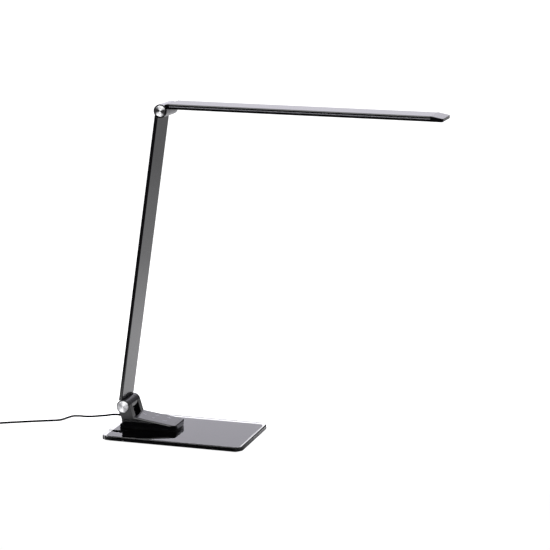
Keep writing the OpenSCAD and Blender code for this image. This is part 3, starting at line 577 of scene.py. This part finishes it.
def zincLacquer():
    # die-cast zinc under gloss black lacquer: slight waviness from the casting
    material, tree, shader, place = startMaterial("lacqueredZinc", colour="#060607", ior=1.5)
    varyRoughness(tree, shader, place, 0.006, 0.12, 0.22)
    wave = addNoise(tree, place, 0.005, 1.0)
    setNormal(tree, shader, wave, 0.00001, 0.0005)
    return material


def polishedAluminium():
    # turned and polished aluminium: bright, with very fine lines round the barrel, across Y
    material, tree, shader, place = startMaterial("polishedAluminium", metallic=1.0)
    mottle(tree, shader, place, 0.004, "#929294", "#9e9ea0")
    turn = addNode(tree, "ShaderNodeMapping", {"Scale": (1, 40, 1)}, {"Vector": place})
    lines = addNoise(tree, turn.outputs["Vector"], 0.01, 3.0)
    spreadRoughness(tree, shader, lines, 0.16, 0.26)
    setNormal(tree, shader, lines, 0.000004, 0.0004)
    return material


def spunAluminium(name, centre):
    # disc faced on a lathe: the tool's rings spread the light into bright and dark sectors.
    # The real rings are 0.1 mm apart; they are drawn at 0.35 mm to show.
    material, tree, shader, place = startMaterial(name, metallic=1.0, roughness=0.5, anisotropic=1.0,
                                                  turned=0.25)
    shift = addNode(tree, "ShaderNodeVectorMath", {1: centre}, {0: place}, operation="SUBTRACT")
    flat = addNode(tree, "ShaderNodeVectorMath", {1: (1, 0, 1)}, {0: shift.outputs[0]}, operation="MULTIPLY")
    radius = addNode(tree, "ShaderNodeVectorMath", links={0: flat.outputs[0]}, operation="LENGTH")
    rings = addNode(tree, "ShaderNodeMath", {1: 2 * math.pi / 0.00035}, {0: radius.outputs["Value"]},
                    operation="MULTIPLY")
    wave = addNode(tree, "ShaderNodeMath", links={0: rings.outputs[0]}, operation="SINE")
    mottle(tree, shader, place, 0.0015, "#f0f0f2", "#f8f8fa")
    tangent = addNode(tree, "ShaderNodeTangent", direction_type="RADIAL", axis="Y")
    tree.links.new(tangent.outputs[0], shader.inputs["Tangent"])
    setNormal(tree, shader, wave.outputs[0], 0.0000015, 0.0003)
    return material


def platedSteel():
    # zinc plated steel: pale grey, softly streaked by handling
    material, tree, shader, place = startMaterial("zincPlatedSteel", metallic=1.0)
    mottle(tree, shader, place, 0.002, "#9b9da1", "#c0c1c4")
    varyRoughness(tree, shader, place, 0.0015, 0.22, 0.4)
    setNormal(tree, shader, edge=0.0002)
    return material


def nylonGrey():
    # moulded nylon bush: waxy grey
    material, tree, shader, place = startMaterial("greyNylon", ior=1.53, subsurface=0.1,
                                                  subsurfaceRadius=(1.0, 1.0, 1.0), subsurfaceScale=0.0008)
    mottle(tree, shader, place, 0.002, "#55565a", "#64656a")
    varyRoughness(tree, shader, place, 0.002, 0.4, 0.55)
    return material


def opalAcrylic():
    # opal acrylic diffuser: milky, the light spreads inside it and hides the chips
    material, tree, shader, place = startMaterial("opalAcrylic", ior=1.49, subsurface=0.6,
                                                  subsurfaceRadius=(1.0, 1.0, 0.95), subsurfaceScale=0.0015)
    mottle(tree, shader, place, 0.01, "#f0efe9", "#f7f6f1")
    varyRoughness(tree, shader, place, 0.004, 0.32, 0.45)
    return material


def solderMask(name, dark, light):
    # solder mask over glass fibre board: a satin coat over a fine weave of 0.5 mm
    material, tree, shader, place = startMaterial(name, ior=1.5, roughness=0.35)
    mottle(tree, shader, place, 0.003, dark, light)
    weave = addNode(tree, "ShaderNodeTexWave", {"Scale": 1 / 0.0025, "Distortion": 0.5}, {"Vector": place},
                    wave_type="BANDS", bands_direction="Y")
    setNormal(tree, shader, weave.outputs["Fac"], 0.00002)
    return material


def phosphorGel():
    # yellow phosphor gel over the light chips
    material, tree, shader, place = startMaterial("phosphorGel", ior=1.45, roughness=0.3, subsurface=0.3,
                                                  subsurfaceScale=0.0005)
    mottle(tree, shader, place, 0.0006, "#e6c45a", "#f2d97c")
    return material


def flatCable():
    # white flat cable, its conductors showing as ridges 1.2 mm apart
    material, tree, shader, place = startMaterial("whiteFlatCable", roughness=0.5)
    mottle(tree, shader, place, 0.004, "#d9d8d2", "#e8e7e2")
    ridges = addNode(tree, "ShaderNodeTexWave", {"Scale": 1 / 0.006}, {"Vector": place},
                     wave_type="BANDS", bands_direction="Y")
    setNormal(tree, shader, ridges.outputs["Fac"], 0.0002)
    return material


def pvcSheath():
    # soft black PVC sheath: nearly matt, with dull scuffs from lying on the desk
    material, tree, shader, place = startMaterial("blackPvcSheath", ior=1.52, specular=0.04)
    mottle(tree, shader, place, 0.004, "#040405", "#08080a")
    varyRoughness(tree, shader, place, 0.003, 0.55, 0.75)
    grain = addNoise(tree, place, 0.0008, 2.0)
    setNormal(tree, shader, grain, 0.00002)
    return material


def texturedPolycarbonate():
    # spark-eroded black polycarbonate: matt, pebbled at about 0.5 mm
    material, tree, shader, place = startMaterial("texturedPolycarbonate", ior=1.58)
    mottle(tree, shader, place, 0.002, "#111113", "#1a1a1c")
    varyRoughness(tree, shader, place, 0.003, 0.45, 0.6)
    grain = addNode(tree, "ShaderNodeTexVoronoi", {"Scale": 1 / 0.0006}, {"Vector": place})
    setNormal(tree, shader, grain.outputs["Distance"], 0.00005)
    return material


def wovenStrap():
    # woven nylon strap with hook tape: threads of 0.5 mm over and under
    material, tree, shader, place = startMaterial("wovenNylonStrap", roughness=0.8, sheen=0.3)
    threads = [addNode(tree, "ShaderNodeTexWave", {"Scale": 1 / 0.0025}, {"Vector": place},
                       wave_type="BANDS", bands_direction=way) for way in ("X", "DIAGONAL")]
    both = addNode(tree, "ShaderNodeMath", links={0: threads[0].outputs["Fac"], 1: threads[1].outputs["Fac"]},
                   operation="MULTIPLY")
    mottle(tree, shader, place, 0.002, "#151517", "#26262a")
    setNormal(tree, shader, both.outputs[0], 0.0002)
    return material


def speckledCap():
    # tip cap: gloss ABS whose worn tool left a fine pebble of about 1 mm on it
    material, tree, shader, place = startMaterial("speckledAbsCap", colour="#060607", ior=1.5)
    varyRoughness(tree, shader, place, 0.0015, 0.08, 0.24)
    pebble = addNoise(tree, place, 0.0011, 2.0)
    setNormal(tree, shader, pebble, 0.00003, 0.0005)
    return material


glossBlack, polished, steel, pvc = glossAbs(), polishedAluminium(), platedSteel(), pvcSheath()
lowerCentre, upperCentre = ([(a + b) / 2 for a, b in zip(*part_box(name))]
                            for name in ("lower_cover_discs", "upper_cover_discs"))
finishes = {
    "anti_slip_pad": rubberSheet(), "base_weight": powderCoat(), "glass_plate": clearGlass(),
    "console_foot": glossBlack, "console_housing": glossBlack, "touch_panel": touchAcrylic(),
    "nose_insert": satinAbs("satinAbsInsert", "#45454a", "#4f4f54"),
    "lower_bushes": nylonGrey(), "lower_cover_discs": spunAluminium("spunDiscLower", lowerCentre),
    "upper_cover_discs": spunAluminium("spunDiscUpper", upperCentre),
    "arm_lower_knuckle": zincLacquer(), "arm_bar": anodisedBlack("anodisedArm", -90 + 8.33),
    "arm_cable": flatCable(), "arm_back_strip": glossBlack, "arm_upper_knuckle": polished,
    "head_knuckle": polished, "upper_end_rings": glossBlack, "head_root_cap": glossBlack,
    "head_cover": anodisedBlack("anodisedHeadCover", 0.45), "head_bezel": glossBlack,
    "head_rail": satinAbs("satinAbsRail", "#7c7c82", "#88888e"), "head_diffuser": opalAcrylic(),
    "head_tip_cap": speckledCap(), "light_chips": phosphorGel(), "adapter_relief": pvc,
    "control_board": solderMask("greenSolderMask", "#14432c", "#1b5538"),
    "light_board": solderMask("whiteSolderMask", "#dcdcd8", "#eaeae6"),
}
finishes["upper_bushes"] = finishes["lower_bushes"]
for name in ("base_screws", "touch_springs", "lower_axle", "lower_friction_washers", "lower_lock_nut",
             "arm_screws", "upper_axle", "upper_friction_washers", "upper_lock_nut", "head_screws"):
    finishes[name] = steel
pieces = {supplyLead: pvc, ribbedRelief: pvc, adapterShell: texturedPolycarbonate(), plugBlades: steel,
          hookStrap: wovenStrap(), enamelSheet: backEnamel(), panelMarks: printedWhite()}


def assign(made, material):
    made.data.materials.clear()
    made.data.materials.append(material)


for name, material in finishes.items():
    assign(nodes[name], material)
for made, material in pieces.items():
    assign(made, material)
for name, made in nodes.items():
    if name not in finishes and not made.hide_render:
        raise SystemExit("no finish for " + name)
print("stage: materials assigned")

# Studio. The camera, and what is seen through glass, meets plain white. Glossy rays don't: they see the wall
# behind and the room in front as the ramps below, and a floor whose bands are painted shadow and painted
# light, not plain.
# Floor stops are metres from the origin; wall and room stops are heights of the direction, 0 to 1.
# the front and back floor stops are painted light and shade: a painted shadow beside the plate, a painted
# pool of light farther out, and painted dark beyond and far behind
studio = {"front": ((0.12, "#161616"), (0.155, "#e4e4e4"), (0.23, "#e4e4e4"), (0.38, "#1c1c1c")),
          "back": ((0.4, "#dcdcdc"), (0.8, "#b0b0b0"), (1.5, "#8e8e8e")), "floorReach": 2.0,
          "wall": ((0.0, 1.0), (0.1, 1.15), (0.28, 1.5), (0.5, 1.15), (1.0, 1.0)),
          "room": ((0.0, 0.04), (0.3, 0.06), (0.4, 3.4), (0.7, 3.0), (1.0, 1.2)),
          "glossShare": 0.05, "size": 30.0, "drop": 0.0001, "tint": (0.985, 0.965, 1.06)}
lamps = {"overheadSoftbox": {"place": (-0.4, 0.5, 2.2), "target": (0.05, 0, 0.1), "size": (1.6, 1.6),
                             "power": 3},
         "frontSoftbox": {"place": (-0.3, -1.5, 1.7), "target": (0, 0, 0.2), "size": (1.6, 0.9),
                          "power": 13}}


def setStops(ramp, stops):
    elements = ramp.color_ramp.elements
    while len(elements) < len(stops):
        elements.new(0.5)
    for element, (position, colour) in zip(elements, stops):
        element.position = position
        element.color = colour


def makeFloor():
    # In front the floor is painted dark beside the plate, a painted shadow there; it is pale a hand farther
    # out, a painted pool of light, and painted dark again beyond as painted shade. Behind, it darkens slowly,
    # a painted fall-off of the light. The glow makes it white for the camera, with a faint shadow, and gives
    # glossy rays only a small share of that white, behind the lamp.
    material, tree, shader, place = startMaterial("paperFloor", roughness=0.9, specular=0.0)
    length = addNode(tree, "ShaderNodeVectorMath", links={0: place}, operation="LENGTH")
    distance = addNode(tree, "ShaderNodeMath", {1: 1 / studio["floorReach"]},
                       {0: length.outputs["Value"]}, operation="MULTIPLY")
    paintedLightTones = []
    for way in ("front", "back"):
        paintedLightTone = addNode(tree, "ShaderNodeValToRGB", links={"Fac": distance.outputs[0]})
        setStops(paintedLightTone, [(metres / studio["floorReach"], toLinear(colour))
                        for metres, colour in studio[way]])
        paintedLightTones.append(paintedLightTone)
    parts = addNode(tree, "ShaderNodeSeparateXYZ", links={"Vector": place})
    behind = addNode(tree, "ShaderNodeMapRange", {"From Min": -0.1, "From Max": 0.1},
                     {"Value": parts.outputs["Y"]}, interpolation_type="SMOOTHSTEP")
    # mix of the painted light and shade bands in front and behind
    paintedLightTone = addNode(tree, "ShaderNodeMix", data_type="RGBA", links={"Factor": behind.outputs["Result"]})
    tree.links.new(paintedLightTones[0].outputs["Color"], paintedLightTone.inputs["A"])
    tree.links.new(paintedLightTones[1].outputs["Color"], paintedLightTone.inputs["B"])
    tree.links.new(paintedLightTone.outputs["Result"], shader.inputs["Base Color"])
    path = addNode(tree, "ShaderNodeLightPath")
    seen = addNode(tree, "ShaderNodeMath", links={0: path.outputs["Is Camera Ray"],
                                                  1: path.outputs["Is Transmission Ray"]},
                   operation="MAXIMUM")
    lift = addNode(tree, "ShaderNodeMapRange", {"From Max": 0.8, "To Min": 1.0, "To Max": 0.6},
                   {"Value": paintedLightTone.outputs["Result"]})
    glow = addNode(tree, "ShaderNodeMath", links={0: seen.outputs[0], 1: lift.outputs["Result"]},
                   operation="MULTIPLY")
    share = addNode(tree, "ShaderNodeMath", {1: studio["glossShare"]}, {0: path.outputs["Is Glossy Ray"]},
                    operation="MULTIPLY")
    share = addNode(tree, "ShaderNodeMath", links={0: share.outputs[0], 1: behind.outputs["Result"]},
                    operation="MULTIPLY")
    glow = addNode(tree, "ShaderNodeMath", links={0: glow.outputs[0], 1: share.outputs[0]},
                   operation="MAXIMUM")
    tree.links.new(glow.outputs[0], shader.inputs["Emission Strength"])
    shader.inputs["Emission Color"].default_value = (1, 1, 1, 1)
    half = studio["size"] / 2
    corners = [(x, y, -studio["drop"]) for x, y in ((-half, -half), (half, -half), (half, half),
                                                    (-half, half))]
    floor = bpy.data.objects.new("paperFloor", meshFrom("paperFloor", corners, [(0, 1, 2, 3)]))
    bpy.context.scene.collection.objects.link(floor)
    floor.data.materials.append(material)


def makeWorld():
    world = bpy.data.worlds.new("studioWorld")
    bpy.context.scene.world = world
    world.use_nodes = True
    tree = world.node_tree
    tree.nodes.clear()
    direction = addNode(tree, "ShaderNodeTexCoord").outputs["Generated"]
    parts = addNode(tree, "ShaderNodeSeparateXYZ", links={"Vector": direction})
    wall = addNode(tree, "ShaderNodeValToRGB", links={"Fac": parts.outputs["Z"]})
    room = addNode(tree, "ShaderNodeValToRGB", links={"Fac": parts.outputs["Z"]})
    for ramp, way in ((wall, "wall"), (room, "room")):
        setStops(ramp, [(position, (value, value, value, 1)) for position, value in studio[way]])
    side = addNode(tree, "ShaderNodeMapRange", {"From Min": -0.5, "From Max": 0.4},
                   {"Value": parts.outputs["Y"]}, interpolation_type="SMOOTHSTEP")
    mix = addNode(tree, "ShaderNodeMix", data_type="RGBA")
    tree.links.new(side.outputs["Result"], mix.inputs["Factor"])
    tree.links.new(room.outputs["Color"], mix.inputs["A"])
    # the wall is brightest on the left
    dim = addNode(tree, "ShaderNodeMapRange",
                  {"From Min": -0.05, "From Max": 0.35, "To Min": 1.0, "To Max": 0.2},
                  {"Value": parts.outputs["X"]}, interpolation_type="SMOOTHSTEP")
    shaded = addNode(tree, "ShaderNodeVectorMath", {1: studio["tint"]}, {0: wall.outputs["Color"]},
                     operation="MULTIPLY")
    shaded = addNode(tree, "ShaderNodeVectorMath",
                     links={0: shaded.outputs[0], "Scale": dim.outputs["Result"]}, operation="SCALE")
    tree.links.new(shaded.outputs[0], mix.inputs["B"])
    light = addNode(tree, "ShaderNodeBackground", {"Strength": 1.0}, {"Color": mix.outputs["Result"]})
    white = addNode(tree, "ShaderNodeBackground", {"Color": (1, 1, 1, 1), "Strength": 1.0})
    path = addNode(tree, "ShaderNodeLightPath")
    seen = addNode(tree, "ShaderNodeMath", links={0: path.outputs["Is Camera Ray"],
                                                  1: path.outputs["Is Transmission Ray"]},
                   operation="MAXIMUM")
    both = addNode(tree, "ShaderNodeMixShader", links={0: seen.outputs[0], 1: light.outputs[0],
                                                       2: white.outputs[0]})
    addNode(tree, "ShaderNodeOutputWorld", links={"Surface": both.outputs[0]})


def makeLamp(name, place, target, size, power):
    data = bpy.data.lights.new(name, "AREA")
    data.shape = "RECTANGLE"
    data.size, data.size_y = size
    data.energy = power
    lamp = bpy.data.objects.new(name, data)
    bpy.context.scene.collection.objects.link(lamp)
    lamp.location = place
    lamp.rotation_mode = "QUATERNION"
    lamp.rotation_quaternion = (Vector(place) - Vector(target)).to_track_quat("Z", "Y")


makeFloor()
makeWorld()
for name, lamp in lamps.items():
    makeLamp(name, **lamp)
bpy.context.scene.view_settings.view_transform = "Standard"
print("stage: studio made")
